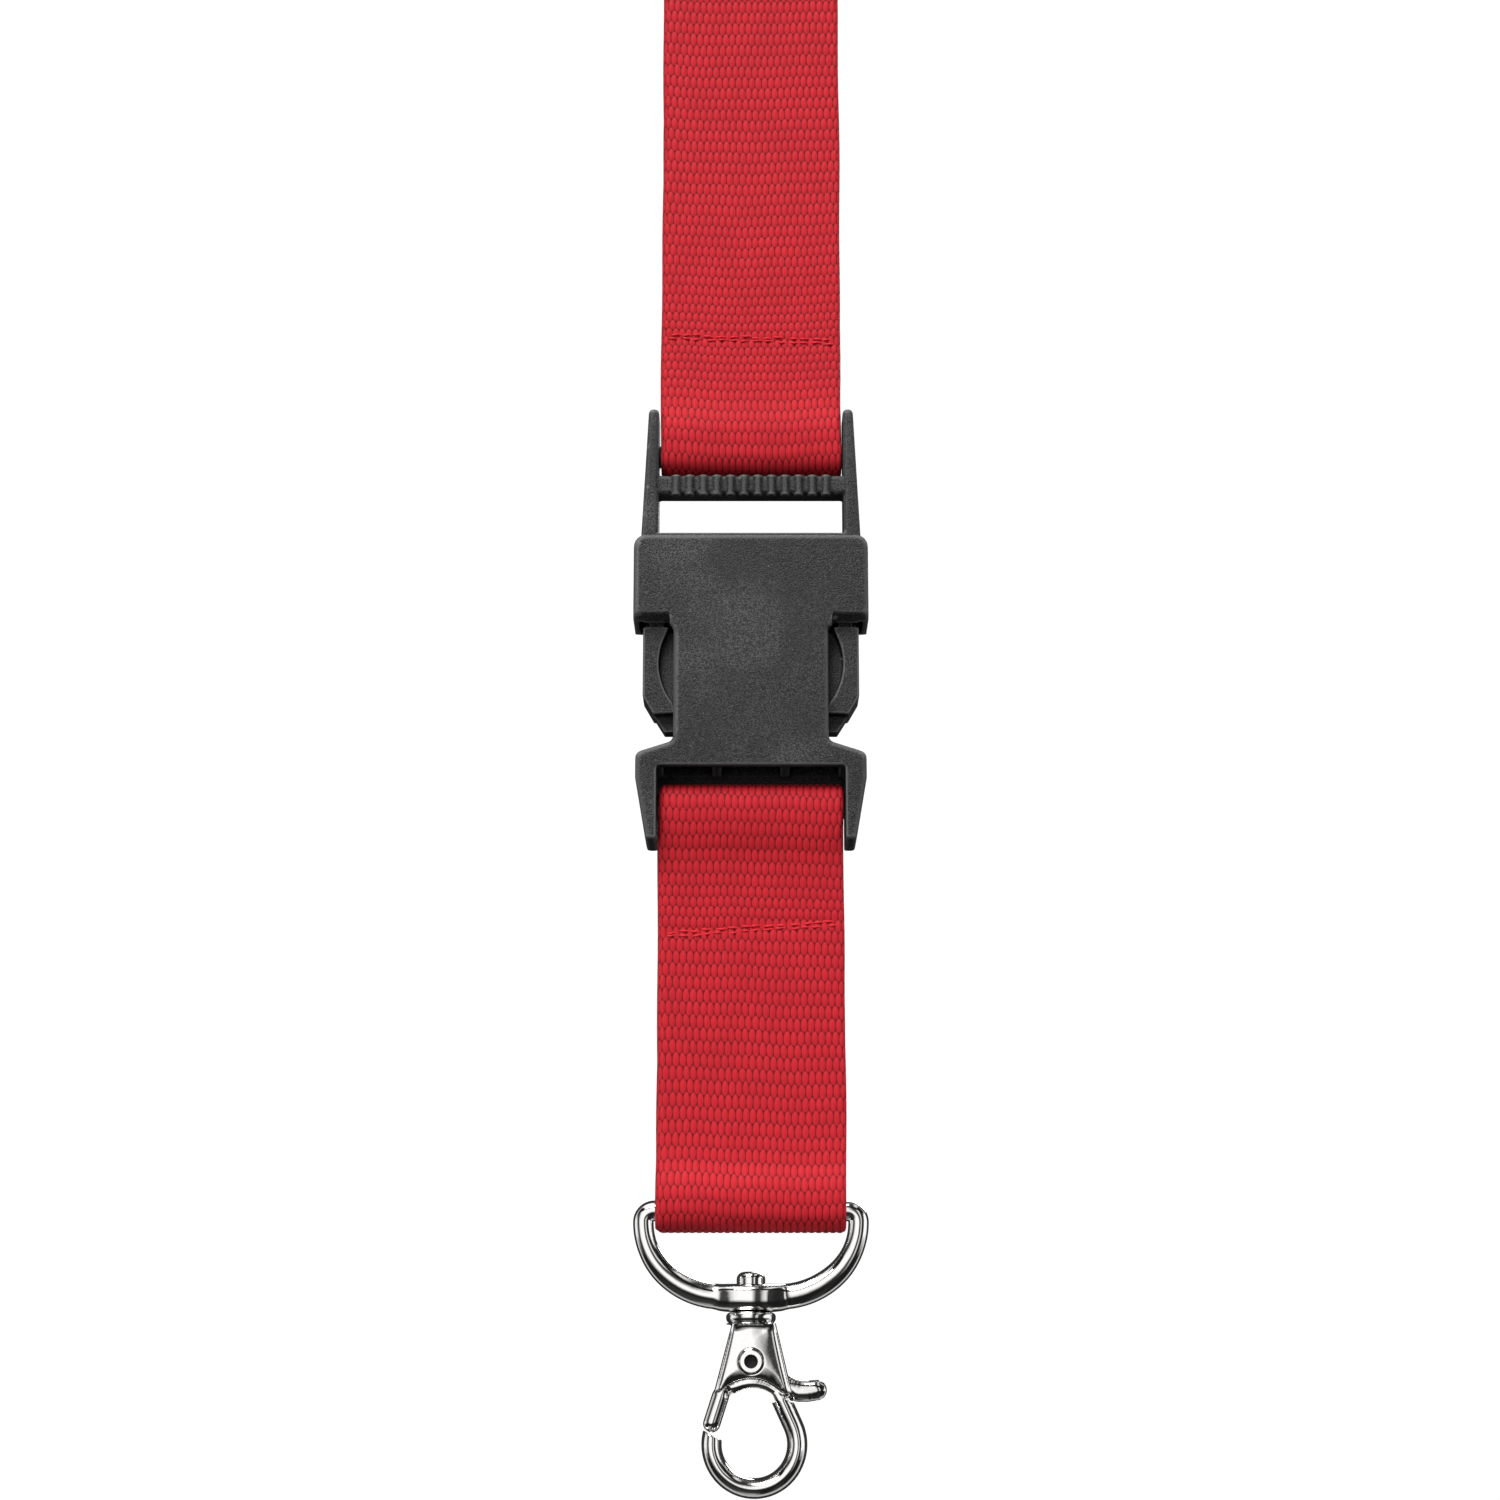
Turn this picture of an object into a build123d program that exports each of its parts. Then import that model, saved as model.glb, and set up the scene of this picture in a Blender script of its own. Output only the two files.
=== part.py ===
from build123d import *
import math
import os

os.makedirs("parts", exist_ok=True)

# Lanyard of flat webbing: neck loop, side release buckle, short lower strap, D-ring and
# swivel trigger hook.  Sizes are in millimetres.  X is across the webbing, -Y is the front
# and +Z is up.  The origin is the inside top of the neck loop, where the lanyard hangs.
# Heights are measured from a datum in the middle of the buckle.

# ---------------------------------------------------------------- driving dimensions
webbing_width = 20.0
webbing_thickness = 1.1
datum_z = -472.0  # the buckle's datum, below the top of the neck loop
thread_radius = 0.16
running_gap = 0.1  # between a bar and the webbing round it
pin_clearance = 0.05

buckle_depth = 7.6
cavity_depth = 5.2
male_depth = 5.0
female_half_width = 12.8
cavity_half_width = 12.2
waist_half_width = 8.4
strap_gap_half = 10.15  # half the clear width between rails, for the webbing
strap_bar_radius = 1.2
male_bar_height = 33.4
female_bar_height = -6.3
mouth_height = 23.4
shoulder_height = 13.45
end_face_height = -2.5

ring_bar_height = -49.6
ring_wire_radius = 1.1
boss_top = -57.3
boss_bottom = -59.95
swivel_pin_radius = 0.9
hook_depth = 4.2
pivot_height = -65.1
gate_slot = 2.2

# ---------------------------------------------------------------- working planes
front = Plane(origin=(0, 0, datum_z), x_dir=(1, 0, 0), z_dir=(0, -1, 0))
side = Plane(origin=(0, 0, datum_z), x_dir=(0, 1, 0), z_dir=(1, 0, 0))


def level(height):
    """The horizontal plane at a height from the datum."""
    return Plane.XY.offset(datum_z + height)


def finish(piece, name):
    """Label a finished piece and write it to its own file."""
    piece.label = name
    export_step(piece, f"parts/{name}.step")


def mirrored(points):
    """A right-hand outline followed by its mirror image, as one closed run of points."""
    return points + [(-x, y) for x, y in reversed(points)]


# ---------------------------------------------------------------- webbing
def corner_radii(route, share=0.45):
    """The radius at each corner: share of its shorter run over tan of half the turn."""
    radii = []
    for before, here, after in zip(route, route[1:], route[2:]):
        first = Vector(*here) - Vector(*before)
        second = Vector(*after) - Vector(*here)
        half_turn = math.radians(first.get_angle(second) / 2)
        radii.append(share * min(first.length, second.length) / math.tan(half_turn))
    return radii


def webbing(route, name):
    """A flat strap that follows a (y, height) route, with its volume checked in print."""
    radii = corner_radii(route)
    with BuildPart() as strap:
        with BuildLine(side) as path:
            FilletPolyline(*route, radius=radii)
        centre = path.wire()
        with BuildSketch(Plane(centre @ 0, x_dir=(1, 0, 0), z_dir=centre % 0)):
            Rectangle(webbing_width, webbing_thickness)
        sweep()
    expected = centre.length * webbing_width * webbing_thickness
    ratio = strap.part.volume / expected
    print(name, "length", round(centre.length, 1), "volume over expected", round(ratio, 4))
    print(name, "radii", [round(r, 1) for r in radii])
    return strap.part


def stitches(left_height, right_height, faces_y):
    """Short thread bars in a row across the webbing, on each of its two outer faces."""
    count = 14
    pitch = (webbing_width - 1.6) / count
    slope = (right_height - left_height) / webbing_width
    middle = (left_height + right_height) / 2
    with BuildPart() as seam:
        for y in faces_y:
            for n in range(count):
                x = (n - (count - 1) / 2) * pitch
                z = datum_z + middle + slope * x
                with Locations(Location((x, y, z), (0, 90, 0))):
                    Cylinder(thread_radius, 0.8 * pitch)
    return seam.part


fold = strap_bar_radius + running_gap + webbing_thickness / 2  # webbing's middle at a bar
crown = -datum_z + webbing_thickness / 2  # the middle of the webbing at the loop's top

# The neck strap starts at its tail, goes down behind the male bar, up the front, over the
# neck and down the rear to the same seam.  Points are (y, height).
neck_route = [
    (0.0, 50.5),
    (0.0, 41.0),
    (fold, 36.0),
    (fold, male_bar_height - fold),
    (-fold, male_bar_height - fold),
    (-fold, 35.5),
    (-1.22, 42.0),
    (-1.2, 54.0),
    (-1.35, 77.0),
    (-2.6, 113.0),
    (-7.5, 158.0),
    (-18.5, 212.0),
    (-34.5, 276.0),
    (-50.5, 341.0),
    (-60.5, 393.0),
    (-60.2, 437.0),
    (-25.0, crown),
    (25.0, crown),
    (60.2, 437.0),
    (60.5, 393.0),
    (50.5, 341.0),
    (34.5, 276.0),
    (18.5, 212.0),
    (7.5, 158.0),
    (2.6, 113.0),
    (1.35, 77.0),
    (1.2, 56.0),
    (1.22, 44.2),
]
neck_strap = webbing(neck_route, "neck_strap")
finish(neck_strap, "neck_strap")

thread_offset = webbing_thickness / 2 + thread_radius
neck_seam_y = 1.24
neck_stitching = stitches(47.0, 46.3, (-neck_seam_y - thread_offset, neck_seam_y + thread_offset))
finish(neck_stitching, "neck_stitching")

# The lower strap is a sewn loop.  It starts inside the overlap, goes up behind and over the
# female bar, down the front, round the ring's bar and back up behind to the overlap's end.
ring_fold = ring_wire_radius + running_gap + webbing_thickness / 2
lower_route = [
    (0.6, -27.0),
    (0.6, -13.0),
    (fold, -8.8),
    (fold, female_bar_height + fold),
    (-fold, female_bar_height + fold),
    (-fold, -8.8),
    (-0.62, -13.0),
    (-0.6, -29.0),
    (-0.62, -44.0),
    (-ring_fold, -47.3),
    (-ring_fold, ring_bar_height - ring_fold),
    (ring_fold, ring_bar_height - ring_fold),
    (ring_fold, -47.3),
    (0.62, -44.0),
    (0.6, -31.0),
    (1.8, -27.5),
    (1.82, -15.5),
]
lower_strap = webbing(lower_route, "lower_strap")
finish(lower_strap, "lower_strap")

lower_stitching = stitches(-20.6, -19.2, (-0.63 - thread_offset, 1.84 + thread_offset))
finish(lower_stitching, "lower_stitching")

# ---------------------------------------------------------------- male half of the buckle
rail_top = 38.3
rail_top_half_width = 11.3
base_half_width = 12.05
slot_bottom = 23.9
base_bottom = 21.4
prong_x = 10.3
prong_root_radius = 1.0
guide_half_width = 3.0
guide_depth = 4.4
guide_tip = 4.0
ribbed_bar_top = 30.6
ribbed_bar_bottom = 28.4
ribbed_bar_depth = 3.1
ridge_count = 12
ridge_pitch = 1.5
ridge_radius = 0.5

with BuildPart() as male_body:
    # rails and base in one outline
    with BuildSketch(front):
        with BuildLine():
            Polyline(
                *mirrored(
                    [
                        (strap_gap_half, slot_bottom),
                        (strap_gap_half, rail_top),
                        (rail_top_half_width, rail_top),
                        (base_half_width, 23.6),
                        (base_half_width, base_bottom),
                    ]
                ),
                close=True,
            )
        outline = make_face()
        fillet(outline.vertices().group_by(Axis.Y)[-1], radius=0.5)
    extrude(amount=male_depth / 2, both=True)
    fillet(male_body.faces().sort_by(Axis.Z)[-2:].edges().filter_by(Axis.X), radius=0.5)
    # round bar that the webbing folds over
    with BuildSketch(side):
        with Locations((0, male_bar_height)):
            Circle(strap_bar_radius)
    extrude(amount=strap_gap_half + 0.2, both=True)
    # ribbed bar across the front, with upright ridges on its face
    bar_middle = (ribbed_bar_top + ribbed_bar_bottom) / 2
    bar_tall = ribbed_bar_top - ribbed_bar_bottom
    with BuildSketch(side):
        with Locations(((ribbed_bar_depth - male_depth + 0.3) / 2, bar_middle)):
            RectangleRounded(ribbed_bar_depth, bar_tall, 0.5)
    extrude(amount=strap_gap_half + 0.2, both=True)
    with BuildSketch(level(ribbed_bar_bottom - 0.15)):
        with Locations((0, 0.35 - male_depth / 2)):
            with GridLocations(ridge_pitch, 0, ridge_count, 1):
                Circle(ridge_radius)
    extrude(amount=bar_tall + 0.1)
    # tongue between the prongs, which the female half's channel guides
    with BuildSketch(front):
        with BuildLine():
            Polyline(
                *mirrored(
                    [
                        (guide_half_width, base_bottom + 0.5),
                        (guide_half_width, guide_tip + 3),
                        (guide_half_width - 1.2, guide_tip),
                    ]
                ),
                close=True,
            )
        make_face()
    extrude(amount=guide_depth / 2, both=True)
    # round sockets for the prongs' roots
    with BuildSketch(front):
        with Locations((-prong_x, base_bottom), (prong_x, base_bottom)):
            Circle(prong_root_radius + pin_clearance)
    extrude(amount=male_depth, both=True, mode=Mode.SUBTRACT)
finish(male_body.part, "male_body")

# ---------------------------------------------------------------- prongs, right one first
pad_outer = 11.75
pad_top = 13.2
pad_bottom = 1.7
web_half_depth = 1.2
rim_half_depth = 2.35

with BuildPart() as right_prong:
    # arm and web
    with BuildSketch(front):
        with BuildLine():
            Polyline(
                (prong_x - 0.8, base_bottom),
                (prong_x + 0.8, base_bottom),
                (prong_x + 0.7, pad_top + 1.2),
                (pad_outer, pad_top),
                (pad_outer, 5.5),
                (9.4, pad_bottom),
                (7.8, pad_bottom),
                (7.6, pad_top - 0.6),
                (prong_x - 0.8, pad_top - 0.2),
                close=True,
            )
        make_face()
    extrude(amount=web_half_depth, both=True)
    # raised crescent that the finger presses
    with BuildSketch(front):
        with BuildLine():
            Line((8.95, pad_top), (pad_outer, pad_top))
            Line((pad_outer, pad_top), (pad_outer, 5.5))
            Line((pad_outer, 5.5), (10.6, 3.5))
            Line((10.6, 3.5), (8.2, 3.6))
            Line((8.2, 3.6), (8.5, 4.7))
            ThreePointArc((8.5, 4.7), (10.0, 8.6), (9.6, 11.6))
            Line((9.6, 11.6), (8.95, pad_top))
        make_face()
    extrude(amount=rim_half_depth, both=True)
    # arm at full depth, with its round root
    with BuildSketch(front):
        with BuildLine():
            Polyline(
                (prong_x - 0.8, base_bottom),
                (prong_x + 0.8, base_bottom),
                (prong_x + 0.7, pad_top - 0.5),
                (prong_x - 0.8, pad_top - 0.5),
                close=True,
            )
        make_face()
        with Locations((prong_x, base_bottom)):
            Circle(prong_root_radius)
    extrude(amount=rim_half_depth - 0.15, both=True)
finish(right_prong.part, "right_prong")
left_prong = mirror(right_prong.part, about=Plane.YZ)
finish(left_prong, "left_prong")

# ---------------------------------------------------------------- female half of the buckle
wing_half_width = 12.45
tip_height = -10.5
rib_inner = 3.3
rib_outer = 4.1
shoulder_slant = 1.05  # how far the shoulders' underside rises to the front and rear faces
rear_wall_tip = -3.9

with BuildPart() as female_body:
    # front outline: mouth, shoulders, waist and wings
    with BuildSketch(front) as outline:
        with BuildLine():
            Polyline(
                *mirrored(
                    [
                        (female_half_width, mouth_height),
                        (female_half_width, shoulder_height + 0.3),
                        (waist_half_width, shoulder_height - 0.3),
                        (waist_half_width, 0.3),
                        (wing_half_width, -1.0),
                        (wing_half_width, -3.75),
                        (11.3, tip_height),
                        (strap_gap_half, tip_height),
                        (strap_gap_half, end_face_height),
                    ]
                ),
                close=True,
            )
        make_face()
        fillet(outline.vertices().group_by(Axis.Y)[-1], radius=1.3)
        waist_corners = outline.vertices().filter_by(
            lambda v: abs(abs(v.X) - waist_half_width) < 0.01
        )
        fillet(waist_corners, radius=0.7)
        wing_corners = outline.vertices().filter_by(
            lambda v: abs(abs(v.X) - wing_half_width) < 0.01 and v.Z > datum_z - 2
        )
        fillet(wing_corners, radius=0.8)
    extrude(amount=buckle_depth / 2, both=True)
    # soften the moulding's outside
    outer_edges = female_body.faces().filter_by(Axis.Y).edges()
    outer_edges = outer_edges.filter_by(lambda e: (e @ 0.5).Z > datum_z - 9.5)
    window_edges = outer_edges.filter_by(
        lambda e: abs((e @ 0.5).X) < 10.3 and (e @ 0.5).Z < datum_z + end_face_height + 0.1
    )
    fillet(outer_edges - window_edges, radius=0.55)
    # slanted underside of the shoulders, front and rear
    for end in (-1, 1):
        face_y = end * buckle_depth / 2
        for left in (-female_half_width - 0.5, waist_half_width + 0.4):
            with BuildSketch(side.offset(left)):
                with BuildLine():
                    Polyline(
                        (face_y, shoulder_height + shoulder_slant),
                        (face_y, shoulder_height - 0.6),
                        (end * cavity_depth / 2, shoulder_height - 0.6),
                        (end * cavity_depth / 2, shoulder_height),
                        close=True,
                    )
                make_face()
            extrude(amount=female_half_width - waist_half_width + 0.1, mode=Mode.SUBTRACT)
    # rear wall, which reaches lower than the front one
    with BuildSketch(front.offset(-cavity_depth / 2)):
        with Locations((0, (end_face_height + 1 + rear_wall_tip) / 2)):
            Rectangle(2 * strap_gap_half + 0.4, end_face_height + 1 - rear_wall_tip)
    extrude(amount=-(buckle_depth - cavity_depth) / 2 + 0.1)
    # bar that the webbing folds over
    with BuildSketch(side):
        with Locations((0, female_bar_height)):
            Circle(strap_bar_radius)
    extrude(amount=strap_gap_half + 0.3, both=True)
    # mouth cavity, open at the sides beside the waist
    with BuildSketch(front):
        cavity_tall = mouth_height - 0.8 + 1
        with Locations((0, 0.8 + cavity_tall / 2)):
            Rectangle(2 * cavity_half_width, cavity_tall)
    extrude(amount=cavity_depth / 2, both=True, mode=Mode.SUBTRACT)
    # pockets in the end face
    with BuildSketch(level(end_face_height)):
        Rectangle(2 * (rib_inner - 0.1), 4.8)
    extrude(amount=4, mode=Mode.SUBTRACT)
    with BuildSketch(level(end_face_height)):
        with Locations((-6.85, 0), (6.85, 0)):
            Rectangle(5.3, 4.8)
    extrude(amount=2.4, mode=Mode.SUBTRACT)
    # two ribs that guide the male half's tongue
    with BuildSketch(front):
        rib_tall = 13.5 - 0.5
        rib_middle = (rib_inner + rib_outer) / 2
        with Locations((-rib_middle, 7.0), (rib_middle, 7.0)):
            Rectangle(rib_outer - rib_inner, rib_tall)
    extrude(amount=cavity_depth / 2 + 0.2, both=True)
finish(female_body.part, "female_body")

# ---------------------------------------------------------------- D-ring
ring_flat = 10.12  # half the straight bar inside the strap
corner_radius = 1.15
upper_turn = 48
upper_radius = 7.3
lower_radius = 8.87
boss_half_width = 3.05

with BuildPart() as d_ring:
    # boss for the swivel
    with BuildSketch(level(boss_bottom)):
        Ellipse(boss_half_width, 2.5)
    extrude(amount=boss_top - boss_bottom)
    fillet(d_ring.faces().filter_by(Axis.Z).edges(), radius=0.35)
    # ring, right half and its mirror image
    with BuildLine(front) as ring_half:
        bar = Line((0, ring_bar_height), (ring_flat, ring_bar_height))
        corner = JernArc(bar @ 1, bar % 1, corner_radius, -90)
        upper = JernArc(corner @ 1, corner % 1, upper_radius, -upper_turn)
        lower = JernArc(upper @ 1, upper % 1, lower_radius, -(90 - upper_turn))
        Line(lower @ 1, Vector(0, 0, (lower @ 1).Z))
    with BuildSketch(Plane(ring_half.line @ 0, z_dir=(1, 0, 0))):
        Circle(ring_wire_radius)
    sweep()
    mirror(about=Plane.YZ)
    # hole for the swivel's pin
    with BuildSketch(level(boss_bottom - 1)):
        Circle(swivel_pin_radius + pin_clearance)
    extrude(amount=6, mode=Mode.SUBTRACT)
finish(d_ring.part, "d_ring")

# ---------------------------------------------------------------- swivel rivet
rivet_head_bottom = boss_top + 0.1
rivet_head_top = -55.9
collar_top = -60.05
collar_bottom = -61.1
rivet_bottom = collar_top - 1.5

with BuildPart() as swivel_rivet:
    with BuildSketch(level(rivet_bottom)):
        Circle(swivel_pin_radius)
    extrude(amount=rivet_head_bottom - rivet_bottom + 0.1)
    with BuildSketch(level(rivet_head_bottom)):
        Circle(1.5)
    extrude(amount=rivet_head_top - rivet_head_bottom)
    fillet(swivel_rivet.faces().sort_by(Axis.Z)[-1].edges(), radius=0.8)
finish(swivel_rivet.part, "swivel_rivet")

# ---------------------------------------------------------------- hook
eye_centre = (0.35, -73.4)
eye_radius = 4.42  # to the middle of the hook's bar
shank_lean = 24.7  # the straight stretch of the bar, from upright
bar_half_width = 1.05
bar_half_depth = 1.5
shank_angle = math.radians(shank_lean)
shank_foot = (
    eye_centre[0] + eye_radius * math.cos(shank_angle),
    eye_centre[1] + eye_radius * math.sin(shank_angle),
)
shank_rise = 5.1
shank_top = (
    shank_foot[0] - shank_rise * math.tan(shank_angle),
    shank_foot[1] + shank_rise,
)
open_end_angle = 165  # where the hook's bar stops, round from the right
nose_sweep_radius = 8.45  # room for the gate's nose, round the pivot
arch_centre = (0.2, -71.2)
arch_radius = 4.1
pin_hole_radius = 0.85

with BuildPart() as hook_body:
    # collar
    with BuildSketch(level(collar_bottom - 0.2)):
        Circle(2.6)
    extrude(amount=collar_top - collar_bottom + 0.2)
    fillet(hook_body.edges().group_by(Axis.Z)[-1], radius=0.3)
    # housing that widens down to the eye
    with BuildSketch(level(collar_bottom)):
        with Locations((0.3, 0)):
            RectangleRounded(4.5, hook_depth, 0.6)
    with BuildSketch(level(-68.2)):
        with Locations((0.2, 0)):
            RectangleRounded(8.1, hook_depth, 0.9)
    loft()
    with BuildSketch(front):
        with Locations((0, -71.3)):
            Circle(4.5)
    extrude(amount=hook_depth, both=True, mode=Mode.SUBTRACT)
    # bar round the eye: straight shank, then round the bottom to the open end
    with BuildLine(front) as bar_path:
        shank = Line(shank_top, shank_foot)
        turn = 360 - open_end_angle + shank_lean
        JernArc(shank @ 1, shank % 1, eye_radius, -turn)
    with BuildSketch(Plane(bar_path.line @ 0, x_dir=(0, 1, 0), z_dir=bar_path.line % 0)):
        Ellipse(bar_half_depth, bar_half_width)
    sweep()
    # arch over the eye
    with BuildLine(front) as arch_path:
        CenterArc(arch_centre, arch_radius, 35, 90)
    with BuildSketch(Plane(arch_path.line @ 0, x_dir=(0, 1, 0), z_dir=arch_path.line % 0)):
        Ellipse(bar_half_depth, bar_half_width)
    sweep()
    # room for the nose to swing past the open end
    with BuildSketch(front):
        with Locations((0, pivot_height)):
            Circle(nose_sweep_radius)
        with Locations((-6, -71.0)):
            Rectangle(7.4, 6, mode=Mode.INTERSECT)
    extrude(amount=hook_depth, both=True, mode=Mode.SUBTRACT)
    # slot for the gate lever
    slot_top = -63.0
    slot_foot = -69.2
    with BuildSketch(front):
        with Locations((0, (slot_top + slot_foot) / 2)):
            Rectangle(12, slot_top - slot_foot)
    extrude(amount=gate_slot / 2, both=True, mode=Mode.SUBTRACT)
    # holes for the gate pin and the swivel rivet
    with BuildSketch(front):
        with Locations((0, pivot_height)):
            Circle(pin_hole_radius)
    extrude(amount=hook_depth, both=True, mode=Mode.SUBTRACT)
    with BuildSketch(level(rivet_bottom)):
        Circle(swivel_pin_radius)
    extrude(amount=3, mode=Mode.SUBTRACT)
finish(hook_body.part, "hook_body")

# ---------------------------------------------------------------- gate pin
pin_rim_radius = 1.1
pin_bore_radius = 0.72
pin_bore_depth = 0.7
pin_half_length = hook_depth / 2 + 0.25

with BuildPart() as gate_pin:
    with BuildSketch(front):
        with Locations((0, pivot_height)):
            Circle(pin_hole_radius)
    extrude(amount=pin_half_length, both=True)
    for end in (-1, 1):
        with BuildSketch(front.offset(end * hook_depth / 2)):
            with Locations((0, pivot_height)):
                Circle(pin_rim_radius)
        extrude(amount=end * 0.25)
    for end in (-1, 1):
        with BuildSketch(front.offset(end * pin_half_length)):
            with Locations((0, pivot_height)):
                Circle(pin_bore_radius)
        extrude(amount=-end * pin_bore_depth, mode=Mode.SUBTRACT)
finish(gate_pin.part, "gate_pin")

# ---------------------------------------------------------------- gate lever
hub_radius = 1.6
lever_half_depth = 0.95
nose_half_depth = 1.05

with BuildPart() as gate_lever:
    with BuildSketch(front):
        with Locations((0, pivot_height)):
            Circle(hub_radius)
        # arm to the nose
        with BuildLine():
            Polyline(
                (-1.5, -64.9),
                (0.6, -66.4),
                (-0.8, -67.3),
                (-2.3, -68.6),
                (-3.9, -68.3),
                (-3.5, -67.0),
                close=True,
            )
        make_face()
        # arm to the thumb tab
        with BuildLine():
            Polyline((0.9, -64.1), (4.2, -66.7), (4.2, -69.0), (1.6, -67.0), (-0.5, -66.4), close=True)
        make_face()
    extrude(amount=lever_half_depth, both=True)
    # thumb tab
    with BuildSketch(front):
        with BuildLine():
            Spline((3.9, -66.5), (5.5, -66.95), (6.8, -66.9))
            ThreePointArc((6.8, -66.9), (7.85, -67.9), (6.8, -69.0))
            Spline((6.8, -69.0), (5.6, -69.15), (4.0, -69.0))
            Line((4.0, -69.0), (3.9, -66.5))
        make_face()
    extrude(amount=lever_half_depth, both=True)
    # nose that closes the eye
    with BuildSketch(front):
        with Locations(Location((-3.6, -69.95), (0, 0, 72))):
            SlotCenterToCenter(2.9, 1.8)
    extrude(amount=nose_half_depth, both=True)
    # bore for the pin
    with BuildSketch(front):
        with Locations((0, pivot_height)):
            Circle(pin_hole_radius + pin_clearance)
    extrude(amount=hook_depth, both=True, mode=Mode.SUBTRACT)
finish(gate_lever.part, "gate_lever")

# ---------------------------------------------------------------- gate spring
spring_x = 1.9
spring_bottom = -64.2
spring_top = slot_top - 0.05
spring_radius = 0.6
spring_wire_radius = 0.13
spring_turns = 3

with BuildPart() as gate_spring:
    with BuildLine(Plane(origin=(spring_x, 0, datum_z + spring_bottom))) as coil:
        rise = spring_top - spring_bottom - 2 * spring_wire_radius
        Helix(rise / spring_turns, rise, spring_radius)
    with BuildSketch(Plane(coil.line @ 0, z_dir=coil.line % 0)):
        Circle(spring_wire_radius)
    sweep(is_frenet=True)
finish(gate_spring.part, "gate_spring")
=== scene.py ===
import itertools
import math
import random

import bmesh
import bpy
import numpy as np
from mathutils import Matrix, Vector, kdtree


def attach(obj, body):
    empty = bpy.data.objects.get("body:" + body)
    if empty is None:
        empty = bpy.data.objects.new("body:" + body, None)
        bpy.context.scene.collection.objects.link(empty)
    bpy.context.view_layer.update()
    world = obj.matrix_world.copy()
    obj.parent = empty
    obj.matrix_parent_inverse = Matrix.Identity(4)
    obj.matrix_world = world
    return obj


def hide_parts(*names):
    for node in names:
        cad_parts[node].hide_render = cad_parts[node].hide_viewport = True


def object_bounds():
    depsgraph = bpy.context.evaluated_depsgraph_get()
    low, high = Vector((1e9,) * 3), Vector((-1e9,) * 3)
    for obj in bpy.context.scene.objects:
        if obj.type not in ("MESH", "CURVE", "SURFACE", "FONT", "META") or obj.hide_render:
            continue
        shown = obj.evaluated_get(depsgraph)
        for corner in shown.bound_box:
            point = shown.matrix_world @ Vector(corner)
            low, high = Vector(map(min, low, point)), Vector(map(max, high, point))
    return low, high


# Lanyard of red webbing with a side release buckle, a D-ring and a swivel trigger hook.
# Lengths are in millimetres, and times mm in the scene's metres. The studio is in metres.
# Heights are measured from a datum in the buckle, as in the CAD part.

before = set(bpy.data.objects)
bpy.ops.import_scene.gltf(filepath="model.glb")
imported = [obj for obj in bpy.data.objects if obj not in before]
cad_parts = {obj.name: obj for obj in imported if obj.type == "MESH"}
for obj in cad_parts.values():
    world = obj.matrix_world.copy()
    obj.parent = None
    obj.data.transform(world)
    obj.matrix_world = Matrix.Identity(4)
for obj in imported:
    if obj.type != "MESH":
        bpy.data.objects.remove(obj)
cad_lo, cad_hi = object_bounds()

scene = bpy.context.scene
mm = 0.001
datum = -472.0

webbing_width = 20.0
webbing_thickness = 1.1
webbing_fold = 1.85  # middle of the webbing to the middle of a buckle bar
ring_fold = 1.75  # middle of the webbing to the middle of the ring's bar
seam_margin = 0.8  # from the end of a seam to the webbing's edge
ring_bar_height = -49.6
pivot_height = -65.1
pin_bore = 0.74
neck_top = 472.55


# ---------------------------------------------------------------- camera
def add_camera():
    """The studio camera: a little below the buckle, looking up at it."""
    data = bpy.data.cameras.new("camera")
    data.lens = 70.1
    data.sensor_width = 36
    data.clip_start = 0.02
    data.clip_end = 30
    camera = bpy.data.objects.new("camera", data)
    below = math.radians(13)
    distance = 317.4 * mm
    camera.location = (-0.1 * mm, -distance * math.cos(below), datum * mm - distance * math.sin(below))
    camera.rotation_euler = (math.radians(90) + below, 0, 0)
    scene.collection.objects.link(camera)
    scene.camera = camera


# ---------------------------------------------------------------- mesh helpers
def new_object(name, mesh):
    """A scene object for a mesh."""
    made = bpy.data.objects.new(name, mesh)
    scene.collection.objects.link(made)
    return made


def finish_mesh(mesh):
    """Outward normals and smooth shading."""
    shape = bmesh.new()
    shape.from_mesh(mesh)
    bmesh.ops.recalc_face_normals(shape, faces=shape.faces)
    shape.to_mesh(mesh)
    shape.free()
    mesh.polygons.foreach_set("use_smooth", np.ones(len(mesh.polygons), bool))
    mesh.update()


def add_piece(piece, body, material):
    """Give a piece its material and the body that it rides on."""
    piece.data.materials.clear()
    piece.data.materials.append(material)
    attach(piece, body)
    return piece


def nurbs_line(name, route):
    """Points along the smooth line whose control points are a (y, height) route."""
    curve = bpy.data.curves.new(name, "CURVE")
    curve.dimensions = "3D"
    spline = curve.splines.new("NURBS")
    spline.points.add(len(route) - 1)
    for point, (y, height) in zip(spline.points, route):
        point.co = (0, y * mm, (datum + height) * mm, 1)
    spline.order_u = 3
    spline.use_endpoint_u = True
    spline.resolution_u = 24
    holder = new_object(name, curve)
    mesh = bpy.data.meshes.new_from_object(holder)
    points = np.array([vertex.co[:] for vertex in mesh.vertices])
    bpy.data.objects.remove(holder)
    bpy.data.meshes.remove(mesh)
    return points


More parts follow.
